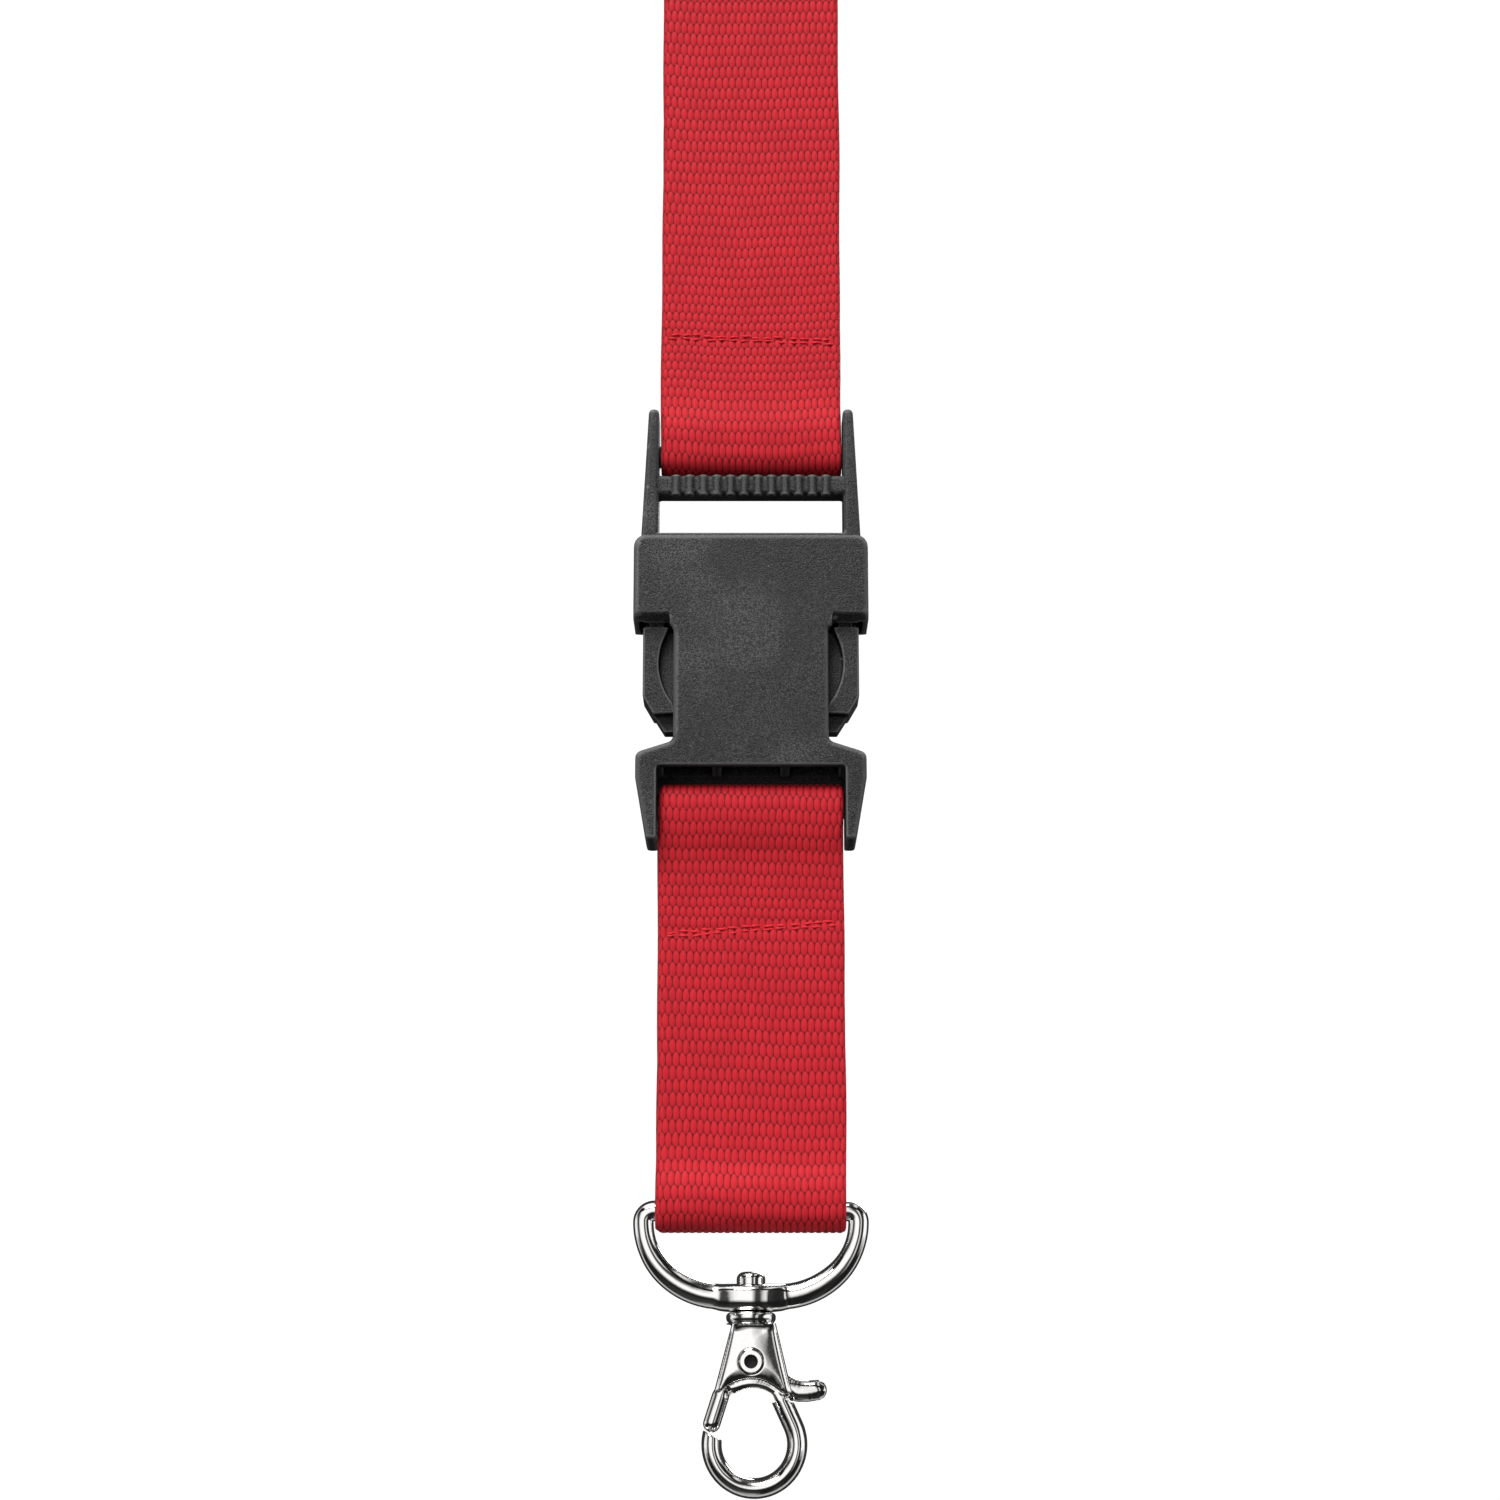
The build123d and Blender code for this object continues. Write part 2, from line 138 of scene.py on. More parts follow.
# ---------------------------------------------------------------- weave
columns = 56  # of warp floats, all the way round the webbing's section
float_half_width = 0.50  # in columns
float_end = 2.0  # how blunt a float's ends are
float_half_height = 0.60  # in rows
relief = 0.11  # from a gap to the back of a float, mm
flat_back = 0.30  # power that flattens a float's back: 1 is a parabola, 0 a block
outer_columns = 31  # those on the outer face and just past the edge that follows it
plain_crown = 0.5  # height of the other columns, whose floats are left to the material
route_step = 0.1  # between the places where rows are counted, mm
front_layer = 0.6  # how far in front of the middle a layer takes its swells in full, mm


def crown(u, v):
    """How far a warp float stands up at a place in columns and rows: 0 in a gap, 1 on a back."""
    best = np.zeros(np.broadcast(u, v).shape)
    for shift in (0, 1):
        across = np.abs((u + 0.5 * shift + 0.5) % 1 - 0.5) / float_half_width
        along = np.abs((v + shift + 1) % 2 - 1) / float_half_height
        best = np.maximum(best, 1 - along**float_end - across**2)
    return np.clip(best, 0, 1)


def section(u):
    """The webbing's section at a column: its place, x and n, and its outward direction, nx and nn."""
    edge = webbing_thickness / 2
    flat = webbing_width - 2 * edge
    turn = math.pi * edge
    around = 2 * (flat + turn)
    p = (np.asarray(u) / columns * around) % around
    x = np.empty_like(p)
    n = np.empty_like(p)
    nx = np.empty_like(p)
    nn = np.empty_like(p)
    for start, side in ((0, 1), (flat + turn, -1)):
        on_flat = (p >= start) & (p < start + flat)
        x[on_flat] = side * (p[on_flat] - start - flat / 2)
        n[on_flat] = side * edge
        nx[on_flat] = 0
        nn[on_flat] = side
        on_turn = (p >= start + flat) & (p < start + flat + turn)
        angle = (p[on_turn] - start - flat) / edge
        nx[on_turn] = side * np.sin(angle)
        nn[on_turn] = side * np.cos(angle)
        x[on_turn] = side * flat / 2 + edge * nx[on_turn]
        n[on_turn] = edge * nn[on_turn]
    return x, n, nx, nn


def ring_columns(per_column):
    """Column places round one ring of webbing: fine where floats are modelled, coarse elsewhere."""
    fine = np.arange(0, outer_columns * per_column) / per_column
    coarse = np.arange(outer_columns, columns, 2.0)
    return np.concatenate((fine, coarse))


def zipped(first, second):
    """Triangles and quads between two rings of columns, as lists of (ring, index) corners."""
    faces = []
    i = 0
    j = 0
    while i < len(first) - 1 or j < len(second) - 1:
        next_i = first[i + 1] if i < len(first) - 1 else math.inf
        next_j = second[j + 1] if j < len(second) - 1 else math.inf
        if abs(next_i - next_j) < 1e-6:
            faces.append([(0, i), (0, i + 1), (1, j + 1), (1, j)])
            i += 1
            j += 1
        elif next_i < next_j:
            faces.append([(0, i), (0, i + 1), (1, j)])
            i += 1
        else:
            faces.append([(0, i), (1, j + 1), (1, j)])
            j += 1
    return faces


def ripple(x, place):
    """How far a row wanders along the strap, in rows: two slow waves across and along it."""
    return 0.07 * np.sin(0.31 * x + 0.05 * place) + 0.04 * np.sin(0.83 * x - 0.11 * place + 1.3)


def sway(place):
    """How far the strap wanders to the side, in mm."""
    return 0.05 * math.sin(place / 7.3) + 0.04 * math.sin(place / 2.9)


def webbing(name, route, outer, fine, pitches, lean, bow, swells):
    """A woven strap along a route. outer is the side of the line that faces out, fine the
    stretch with the closest mesh, pitches the height of a row at distances in mm, and lean
    and bow how far the rows slope and curve across the webbing, in rows. Each swell lifts or
    dents the front layer: height, slope across, spread and amount."""
    line = nurbs_line(name + "_route", route)
    steps = np.linalg.norm(np.diff(line, axis=0), axis=1)
    reach = np.concatenate(([0], np.cumsum(steps))) / mm
    tangents = np.gradient(line, reach, axis=0)
    tangents /= np.linalg.norm(tangents, axis=1)[:, None]

    marks = np.arange(0, reach[-1], route_step)
    pitch = np.interp(marks, [m for m, _ in pitches], [p for _, p in pitches])
    rows_at = np.concatenate(([0], np.cumsum(route_step / pitch)))[:-1]
    rows = []
    for row in range(int(rows_at[-1]) + 1):
        place = np.interp(row, rows_at, marks)
        per_row = 6 if fine[0] < place < fine[1] else 1
        rows += [row + n / per_row for n in range(per_row)]
    rows.append(rows_at[-1])

    vertices = []
    rings = []
    for row in rows:
        place = np.interp(row, rows_at, marks)
        ring = ring_columns(4 if fine[0] < place < fine[1] else 2)
        x, n, nx, nn = section(ring)
        wave = ripple(x, place)
        wave += lean * x / webbing_width + bow * (2 * x / webbing_width) ** 2
        height = crown(ring, row + wave) ** flat_back
        height[ring >= outer_columns - 0.25] = plain_crown
        lift = relief * (height - 1) * (1 - 0.8 * np.abs(nx))
        x = x + nx * lift + sway(place)
        n = n + nn * lift
        centre = np.array([np.interp(place, reach, line[:, k]) for k in range(3)])
        tangent = np.array([np.interp(place, reach, tangents[:, k]) for k in range(3)])
        normal = outer * np.cross((1, 0, 0), tangent / np.linalg.norm(tangent))
        front = min(max(-centre[1] / (front_layer * mm), 0), 1)
        for middle, slope, spread, amount in swells:
            off = (centre[2] / mm - datum - middle - slope * x) / spread
            n = n + front * amount * np.exp(-(off**2)) * np.maximum(nn, 0)
        rings.append((len(vertices), ring, row + wave))
        vertices += list(centre + np.outer(x, (mm, 0, 0)) + np.outer(n, normal * mm))

    faces = []
    face_uv = []
    for first, second in zip(rings, rings[1:]):
        pair = []
        for start, ring, v in (first, second):
            pair.append((start, len(ring), np.append(ring, columns), np.append(v, v[0])))
        for corners in zipped(pair[0][2], pair[1][2]):
            face = []
            for side, k in corners:
                start, count, ring, v = pair[side]
                face.append(start + k % count)
                face_uv.append((ring[k], v[k]))
            faces.append(face)
    for start, ring, v in (rings[0], rings[-1]):
        faces.append(list(range(start, start + len(ring))))
        face_uv += list(zip(ring, v))

    mesh = bpy.data.meshes.new(name)
    mesh.from_pydata([tuple(v) for v in vertices], [], faces)
    layer = mesh.uv_layers.new(name="weave")
    layer.data.foreach_set("uv", np.array(face_uv, np.float32).ravel())
    finish_mesh(mesh)
    return new_object(name, mesh), line


# ---------------------------------------------------------------- seams
seam_rows = (-0.2, 0.25)  # heights of a seam's two rows about its middle, mm
stitch_count = 14
thread_radius = 0.13  # at the middle of a stitch, mm
thread_end_radius = 0.05  # where it dives into the weave, mm
stitch_depth = 0.14  # how far inside its faces_y a stitch's ends lie, mm
stitch_arch = 0.15  # rise from its ends to its middle, mm
ply_twist = 5.5  # how far the two plies turn along a stitch, in radians
ply_depth = 0.16  # how far the plies stand out, as a share of the radius


def stitch_mesh(name, left_height, right_height, faces_y, seed):
    """Two-ply thread stitches in two rows across the webbing, on the faces at each faces_y."""
    pitch = (webbing_width - 2 * seam_margin) / stitch_count
    slope = (right_height - left_height) / webbing_width
    middle = (left_height + right_height) / 2
    around = 10
    along = 12
    chance = random.Random(seed)
    vertices = []
    faces = []
    for y, line in itertools.product(faces_y, seam_rows):
        out = math.copysign(1, y)
        for stitch in range(stitch_count):
            x0 = (stitch - (stitch_count - 1) / 2) * pitch + chance.uniform(-0.25, 0.25)
            length = pitch * chance.uniform(0.75, 1.05)
            tilt = slope + chance.uniform(-0.12, 0.12)
            z0 = middle + line + slope * x0 + chance.uniform(-0.1, 0.1)
            start = len(vertices)
            for step in range(along + 1):
                t = step / along
                arch = math.sin(math.pi * t)
                radius = thread_end_radius + (thread_radius - thread_end_radius) * arch**0.5
                x = x0 + (t - 0.5) * length
                z = datum + z0 + tilt * (x - x0)
                for k in range(around):
                    angle = 2 * math.pi * k / around
                    ply = radius * (1 + ply_depth * math.cos(2 * (angle - ply_twist * t)))
                    off = stitch_arch * arch - stitch_depth + ply * math.cos(angle)
                    up = ply * math.sin(angle)
                    vertices.append((x * mm, (y + out * off) * mm, (z + up) * mm))
            for step in range(along):
                for k in range(around):
                    a = start + step * around + k
                    b = start + step * around + (k + 1) % around
                    faces.append((a, b, b + around, a + around))
            faces.append([start + k for k in range(around)])
            faces.append([start + along * around + k for k in range(around)])
    mesh = bpy.data.meshes.new(name)
    mesh.from_pydata(vertices, [], faces)
    finish_mesh(mesh)
    return new_object(name, mesh)


# ---------------------------------------------------------------- moulded and cast pieces
def softened(node, voxel, passes):
    """A copy of a CAD node with the soft edges of a moulding or casting, which replaces it."""
    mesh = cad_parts[node].data.copy()
    shape = bmesh.new()
    shape.from_mesh(mesh)
    bmesh.ops.remove_doubles(shape, verts=shape.verts, dist=0.001 * mm)
    shape.to_mesh(mesh)
    shape.free()
    rough = new_object(node + "_rough", mesh)
    remesh = rough.modifiers.new("remesh", "REMESH")
    remesh.mode = "VOXEL"
    remesh.voxel_size = voxel * mm
    remesh.use_smooth_shade = True
    smooth = rough.modifiers.new("smooth", "SMOOTH")
    smooth.factor = 0.5
    smooth.iterations = passes
    graph = bpy.context.evaluated_depsgraph_get()
    result = bpy.data.meshes.new_from_object(rough.evaluated_get(graph))
    bpy.data.objects.remove(rough)
    bpy.data.meshes.remove(mesh)
    for layer in list(result.uv_layers):
        result.uv_layers.remove(layer)
    result.name = node + "_soft"
    result.polygons.foreach_set("use_smooth", np.ones(len(result.polygons), bool))
    made = new_object(node + "_soft", result)
    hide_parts(node)
    return made


rim_facing = 0.7  # a rim's normal has less than this in y
rim_sideways = 0.5  # and more than this in x where the rim faces sideways
pivot_boss = 1.5  # radius round the gate's pivot with no rim, mm
pillow_blend = 0.8  # height over which the rounding starts and ends, mm
groove_radius = 1.18  # of the groove round the pivot pin, mm
groove_width = 0.13  # mm
groove_depth = 0.07  # as a share of the piece's depth


def pivot_distance(place):
    """How far a place is from the gate's pivot, seen from the front."""
    return math.hypot(place.x, place.z - (datum + pivot_height) * mm)


def pillow(piece, low, high, radius, share, out):
    """Round a flat-faced piece between two heights: its depth falls off towards its two
    outlines, one of sides that face left and right and one of sides that face up and down.
    A side belongs to them further than out from the middle and clear of the pivot. radius is
    how far in the rounding reaches, and share how much of the depth it takes."""
    mesh = piece.data
    upright, level = [], []
    for vertex in mesh.vertices:
        edge_on = abs(vertex.normal.y) < rim_facing and abs(vertex.co.y) > out * mm
        if edge_on and pivot_distance(vertex.co) > pivot_boss * mm:
            rim = upright if abs(vertex.normal.x) > rim_sideways else level
            rim.append((vertex.co.x, 0, vertex.co.z))
    trees = []
    for rim in (level, upright):
        tree = kdtree.KDTree(len(rim))
        for n, place in enumerate(rim):
            tree.insert(place, n)
        tree.balance()
        trees.append(tree)
    for vertex in mesh.vertices:
        height = vertex.co.z / mm - datum
        above = min(max((height - low) / pillow_blend, 0), 1)
        blend = above * min(max((high - height) / pillow_blend, 0), 1)
        curve = 1
        for tree in trees:
            inward = tree.find((vertex.co.x, 0, vertex.co.z))[2] / (radius * mm)
            curve *= math.sqrt(1 - (1 - min(inward, 1)) ** 2)
        away = pivot_distance(vertex.co) / mm
        groove = groove_depth * math.exp(-(((away - groove_radius) / groove_width) ** 2))
        vertex.co.y *= 1 - blend * share * (1 - curve) - groove
    mesh.update()


collar_bottom = -61.15
collar_middle = -60.57
collar_half_height = 0.55
collar_bulge = 0.13  # how much of the collar's radius goes at its top and bottom


def round_collar(piece):
    """Turn the hook's straight collar into a barrel."""
    for vertex in piece.data.vertices:
        height = vertex.co.z / mm - datum
        if height > collar_bottom:
            off = (height - collar_middle) / collar_half_height
            bulge = 1 - collar_bulge + collar_bulge * math.sqrt(max(1 - off**2, 0))
            vertex.co.x *= bulge
            vertex.co.y *= bulge


ring_half_bar = 10.12
ring_arcs = ((1.15, 90), (7.3, 48), (8.87, 42))  # radius and degrees, from the bar to the boss
boss_half_length = 3.6
boss_top = -57  # the boss lies below this height
ring_thickness = 1.08  # half of it, up and down on the bar
ring_thickening = 0.24  # what half of it gains on the way down to the boss
ring_depth = 1.1  # half of it, front to back
ring_deepening = 0.1
ring_corners = 0.95  # the section's power: 1 is an ellipse, 0 a rectangle
boss_corners = 0.60
boss_depth = 2.2  # about half of it, front to back
boss_drop = 0.24  # how much thicker the boss's lower half is, as a share


def ring_line():
    """Half of the D-ring's middle line, from the middle of its bar to the middle of the boss,
    as pairs of x and height."""
    x, height, heading = ring_half_bar, ring_bar_height, 0.0
    points = [(0.0, height), (x, height)]
    for radius, turn in ring_arcs:
        count = turn // 2
        for _ in range(count):
            step = math.radians(turn / count)
            chord = 2 * radius * math.sin(step / 2)
            x += chord * math.cos(heading - step / 2)
            height += chord * math.sin(heading - step / 2)
            heading -= step
            points.append((x, height))
    points += [(x * share / 12, height) for share in range(11, -1, -1)]
    return points


def ring_mesh():
    """The cast D-ring: a flattened bar that thickens downward and swells into the swivel's boss."""
    half = ring_line()
    line = half + [(-x, height) for x, height in reversed(half[1:-1])]
    around = 40
    vertices = []
    count = len(line)
    for n, (x, height) in enumerate(line):
        before = line[n - 1]
        after = line[(n + 1) % count]
        along = Vector((after[0] - before[0], after[1] - before[1])).normalized()
        low = min(max((ring_bar_height - 3 - height) / 6, 0), 1)
        swell = math.sqrt(max(1 - (x / boss_half_length) ** 2, 0)) if height < boss_top else 0
        thick = ring_thickness + ring_thickening * low * low * (3 - 2 * low)
        bar_deep = ring_depth + ring_deepening * low
        boss_deep = boss_depth * swell
        deep = (bar_deep + boss_deep + math.hypot(bar_deep - boss_deep, 0.6)) / 2
        power = ring_corners - (ring_corners - boss_corners) * swell
        for k in range(around):
            angle = 2 * math.pi * k / around
            c, d = math.cos(angle), math.sin(angle)
            drop = boss_drop * swell if c > 0 else 0
            c = math.copysign(abs(c) ** power, c) * (1 + drop)
            d = math.copysign(abs(d) ** power, d)
            out = (along.y * thick * c, -along.x * thick * c)
            vertices.append(((x - out[0]) * mm, deep * d * mm, (datum + height - out[1]) * mm))
    faces = []
    for n in range(count):
        for k in range(around):
            a, b = n * around + k, n * around + (k + 1) % around
            shift = (n + 1) % count * around - n * around
            faces.append((a, b, b + shift, a + shift))
    mesh = bpy.data.meshes.new("d_ring_cast")
    mesh.from_pydata(vertices, [], faces)
    finish_mesh(mesh)
    return new_object("d_ring_cast", mesh)


# ---------------------------------------------------------------- material helpers
def grey(level):
    """An opaque grey."""
    return (level, level, level, 1)


class Nodes:
    """A node tree, with short ways to add nodes and join them."""

    def __init__(self, tree):
        self.tree = tree

    def add(self, kind, **values):
        """A new node, with its named inputs linked or set."""
        made = self.tree.nodes.new(kind)
        for name, value in values.items():
            self.join(value, made.inputs[name.replace("_", " ")])
        return made

    def join(self, value, socket):
        """Link a socket to another one, or set its value."""
        if isinstance(value, bpy.types.NodeSocket):
            self.tree.links.new(value, socket)
        else:
            socket.default_value = value

    def math(self, operation, *values, clamp=False):
        """A Math node's result."""
        made = self.tree.nodes.new("ShaderNodeMath")
        made.operation = operation
        made.use_clamp = clamp
        for value, socket in zip(values, made.inputs):
            self.join(value, socket)
        return made.outputs[0]

    def mix(self, factor, low, high):
        """A blend of two colours."""
        made = self.tree.nodes.new("ShaderNodeMix")
        made.data_type = "RGBA"
        self.join(factor, made.inputs[0])
        self.join(low, made.inputs[6])
        self.join(high, made.inputs[7])
        return made.outputs[2]

    def fit(self, value, low, high, to_low, to_high):
        """A value mapped smoothly from one range to another and held at its ends."""
        made = self.add("ShaderNodeMapRange", Value=value)
        made.interpolation_type = "SMOOTHSTEP"
        for name, number in zip(("From Min", "From Max", "To Min", "To Max"), (low, high, to_low, to_high)):
            made.inputs[name].default_value = number
        return made.outputs[0]

    def noise(self, vector, scale, detail):
        """Noise from 0 to 1 at a scale in features per unit of the vector."""
        made = self.add("ShaderNodeTexNoise", Vector=vector)
        made.inputs["Scale"].default_value = scale
        made.inputs["Detail"].default_value = detail
        return made.outputs["Fac"]

    def ramp(self, value, stops):
        """Grey levels at positions from 0 to 1, straight between them."""
        made = self.tree.nodes.new("ShaderNodeValToRGB")
        first, last = made.color_ramp.elements
        first.position, first.color = stops[0][0], grey(stops[0][1])
        last.position, last.color = stops[-1][0], grey(stops[-1][1])
        for position, level in stops[1:-1]:
            made.color_ramp.elements.new(position).color = grey(level)
        self.tree.links.new(value, made.inputs[0])
        return made.outputs[0]


class Shader(Nodes):
    """A new material with a Principled surface."""

    def __init__(self, name):
        self.material = bpy.data.materials.new(name)
        self.material.use_nodes = True
        super().__init__(self.material.node_tree)
        self.surface = self.tree.nodes["Principled BSDF"]

    def set(self, **values):
        """Set constant values on the surface's own sockets."""
        for name, value in values.items():
            self.surface.inputs[name.replace("_", " ")].default_value = value

    def link(self, **values):
        """Join values that vary over the piece to the surface's sockets."""
        for name, value in values.items():
            self.join(value, self.surface.inputs[name.replace("_", " ")])

    def pointiness(self):
        """How the mesh curves at a point: over 0.5 on edges, under it in hollows."""
        return self.add("ShaderNodeNewGeometry").outputs["Pointiness"]

    def place(self):
        """The point's place on the piece, in metres."""
        return self.tree.nodes.new("ShaderNodeTexCoord").outputs["Object"]

    def bump(self, height, depth):
        """Join a height to the surface's normal: a height of 1 stands depth mm up."""
        made = self.add("ShaderNodeBump", Height=height)
        made.inputs["Distance"].default_value = depth * mm
        made.inputs["Strength"].default_value = 1.0
        self.tree.links.new(made.outputs[0], self.surface.inputs["Normal"])


def webbing_material():
    """Red polyester weave: warp floats that stand up between gaps darkened by painted shade, with fine
    filaments.
    """
    shader = Shader("red_webbing")
    shader.set(Roughness=0.62, Specular_IOR_Level=0.12)
    shader.set(Sheen_Weight=0.08, Sheen_Roughness=0.4, Sheen_Tint=(1.0, 0.25, 0.25, 1))
    place = shader.add("ShaderNodeUVMap")
    place.uv_map = "weave"
    parts = shader.add("ShaderNodeSeparateXYZ", Vector=place.outputs[0])
    slow = shader.noise(place.outputs[0], 0.9, 1.0)
    shake = shader.math("MULTIPLY_ADD", slow, 0.24, -0.12)
    u = shader.math("ADD", parts.outputs[0], shake)
    v = shader.math("SUBTRACT", parts.outputs[1], shake)
    found = []
    for shift in (0, 1):
        across = shader.math("PINGPONG", shader.math("ADD", u, 0.5 * shift), 0.5)
        along = shader.math("PINGPONG", shader.math("ADD", v, float(shift)), 1.0)
        along = shader.math("POWER", shader.math("DIVIDE", along, float_half_height), float_end)
        across = shader.math("POWER", shader.math("DIVIDE", across, float_half_width), 2.0)
        found.append(shader.math("SUBTRACT", shader.math("SUBTRACT", 1.0, along), across))
    back = shader.math("MAXIMUM", *found, clamp=True)
    fine_u = shader.math("MULTIPLY", u, 9.0)
    long_v = shader.math("MULTIPLY", v, 0.9)
    stretch = shader.add("ShaderNodeCombineXYZ", X=fine_u, Y=long_v)
    filaments = shader.noise(stretch.outputs[0], 1.0, 3.0)
    # Painted shade: the gaps between floats are mixed to a much darker red than the floats' backs, for the
    # shade that falls into them.
    raised = shader.fit(back, 0.0, 0.36, 0.0, 1.0)
    colour = shader.mix(raised, (0.17, 0.0072, 0.0115, 1), (0.565, 0.0177, 0.0280, 1))
    detail_layer = shader.mix(shader.fit(filaments, 0.35, 0.7, 0.0, 0.34), colour, (0.40, 0.012, 0.019, 1))
    cloud = shader.noise(place.outputs[0], 0.22, 2.0)
    tone = shader.mix(shader.fit(cloud, 0.38, 0.66, 0.0, 0.18), detail_layer, (0.30, 0.010, 0.016, 1))
    shader.link(Base_Color=tone)
    height = shader.math("MULTIPLY_ADD", filaments, 0.16, shader.math("SQRT", back))
    shader.bump(height, 0.05)
    return shader.material


def thread_material():
    """Red sewing thread, a shade brighter than the webbing."""
    shader = Shader("red_thread")
    shader.set(Roughness=0.65, Specular_IOR_Level=0.15)
    grain = shader.noise(shader.place(), 9000.0, 2.0)
    share = shader.fit(grain, 0.3, 0.7, 0.0, 1.0)
    shader.link(Base_Color=shader.mix(share, (0.55, 0.018, 0.028, 1), (0.66, 0.021, 0.034, 1)))
    shader.bump(grain, 0.03)
    return shader.material


def plastic_material():
    """Charcoal acetal with a spark-eroded grain, a few pale specks and rubbed patches, with painted
    shade darkening its hollows and a painted highlight paling its edges."""
    shader = Shader("charcoal_plastic")
    place = shader.place()
    grain = shader.noise(place, 6500.0, 2.0)
    cloud = shader.noise(place, 160.0, 3.0)
    rub = shader.noise(place, 70.0, 2.0)
    specks = shader.noise(place, 7500.0, 0.0)
    clouds = shader.fit(cloud, 0.35, 0.65, 0.0, 1.0)
    pale = shader.mix(clouds, (0.026, 0.0262, 0.027, 1), (0.040, 0.0402, 0.041, 1))
    pitted = shader.mix(shader.fit(grain, 0.43, 0.60, 0.0, 1.0), grey(0.001), pale)
    patches = shader.fit(rub, 0.52, 0.68, 0.0, 1.0)
    rubbed = shader.math("MULTIPLY", patches, shader.fit(grain, 0.48, 0.6, 0.1, 0.8))
    scuffed = shader.mix(rubbed, pitted, (0.075, 0.075, 0.076, 1))
    speckled = shader.mix(shader.fit(specks, 0.76, 0.86, 0.0, 0.8), scuffed, (0.14, 0.14, 0.145, 1))
    edge = shader.pointiness()
    # Painted shade: hollows, where the pointiness is low, turn nearly black, for the shade in them.
    hollow_shade = shader.mix(shader.fit(edge, 0.465, 0.495, 0.85, 0.0), speckled, grey(0.004))
    # Painted highlight: edges, where the pointiness is high, turn a paler grey, for the light that edges
    # catch.
    detail_layer = shader.mix(shader.fit(edge, 0.505, 0.535, 0.0, 0.75), hollow_shade, (0.12, 0.12, 0.122, 1))
    shader.link(Base_Color=detail_layer, Roughness=shader.fit(grain, 0.3, 0.7, 0.44, 0.62))
    shader.set(Specular_IOR_Level=0.40)
    shader.bump(grain, 0.08)
    return shader.material


def nickel_material():
    """Polished nickel plate on a die casting: bright, with a faint waviness, fine wear and painted
    shade in its hollows."""
    shader = Shader("polished_nickel")
    shader.set(Metallic=1.0)
    place = shader.place()
    wave = shader.noise(place, 420.0, 1.0)
    wear = shader.noise(place, 2600.0, 4.0)
    colour = shader.mix(wear, (0.80, 0.79, 0.78, 1), (0.93, 0.92, 0.91, 1))
    # Painted shade: hollows and crevices, where the pointiness is low, turn dark grey, for the shade in
    # them.
    crevice_shaded = shader.mix(shader.fit(shader.pointiness(), 0.45, 0.49, 0.9, 0.0), colour, grey(0.03))
    shader.link(Base_Color=crevice_shaded, Roughness=shader.fit(wear, 0.45, 0.75, 0.04, 0.13))
    shader.bump(shader.math("MULTIPLY_ADD", wear, 0.12, wave), 0.02)
    return shader.material


def spring_material():
    """Drawn spring wire, greyer and rougher than the plate."""
    shader = Shader("spring_wire")
    shader.set(Metallic=1.0)
    drawn = shader.noise(shader.place(), 6000.0, 2.0)
    colour = shader.mix(drawn, (0.42, 0.42, 0.43, 1), grey(0.60))
    shader.link(Base_Color=colour, Roughness=shader.fit(drawn, 0.3, 0.7, 0.22, 0.36))
    return shader.material


def bore_shade_material():
    """Painted shade for the bore of the gate pin: a dark, mottled, half-metallic steel that stands in for
    the shade in the hole.
    """
    shader = Shader("bore_shade")
    shader.set(Metallic=0.6)
    mottle = shader.noise(shader.place(), 4000.0, 2.0)
    colour = shader.mix(mottle, (0.018, 0.018, 0.020, 1), (0.045, 0.045, 0.048, 1))
    shader.link(Base_Color=colour, Roughness=shader.fit(mottle, 0.3, 0.7, 0.45, 0.65))
    return shader.material


def paint(node, *materials):
    """Give a CAD node materials of its own, and return its mesh."""
    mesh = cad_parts[node].data
    mesh.materials.clear()
    for material in materials:
        mesh.materials.append(material)
    return mesh


# ---------------------------------------------------------------- studio
# Grey levels of the tent that the metal reflects, at positions from 0 to 1. In front of the
# object they go from left to right and from below to above. On the wall behind it they go from
# beside the line of sight to straight along it, and from below to above. front_to_rear is the
# share of the wall, and skylight_upright the light for everything but reflections.
tent_across = [(0.0, 0.9), (0.03, 0.4), (0.06, 0.03), (0.13, 0.05), (0.17, 0.6), (0.23, 0.9)]
tent_across += [(0.30, 1.0), (0.50, 1.0), (0.54, 0.5), (0.58, 0.04), (0.65, 0.03), (0.70, 0.6)]
tent_across += [(0.75, 0.8), (0.78, 0.03), (0.92, 0.0), (0.95, 1.0), (1.0, 1.0)]
tent_upright = [(0.0, 0.3), (0.04, 0.03), (0.33, 0.0), (0.41, 0.5), (0.45, 1.0), (0.75, 1.0)]
tent_upright += [(0.78, 0.0), (0.87, 0.0), (0.90, 1.0), (1.0, 1.0)]
wall_inward = [(0.0, 1.0), (0.26, 1.0), (0.38, 0.02), (1.0, 0.02)]
wall_upright = [(0.0, 0.4), (0.35, 0.55), (0.50, 0.95), (1.0, 0.95)]
front_to_rear = [(0.50, 0.0), (0.60, 1.0)]
skylight_upright = [(0.0, 0.22), (0.38, 0.36), (0.55, 0.70), (1.0, 1.1)]
view_rise = 0.225  # sine and cosine of the camera's angle
view_level = 0.974


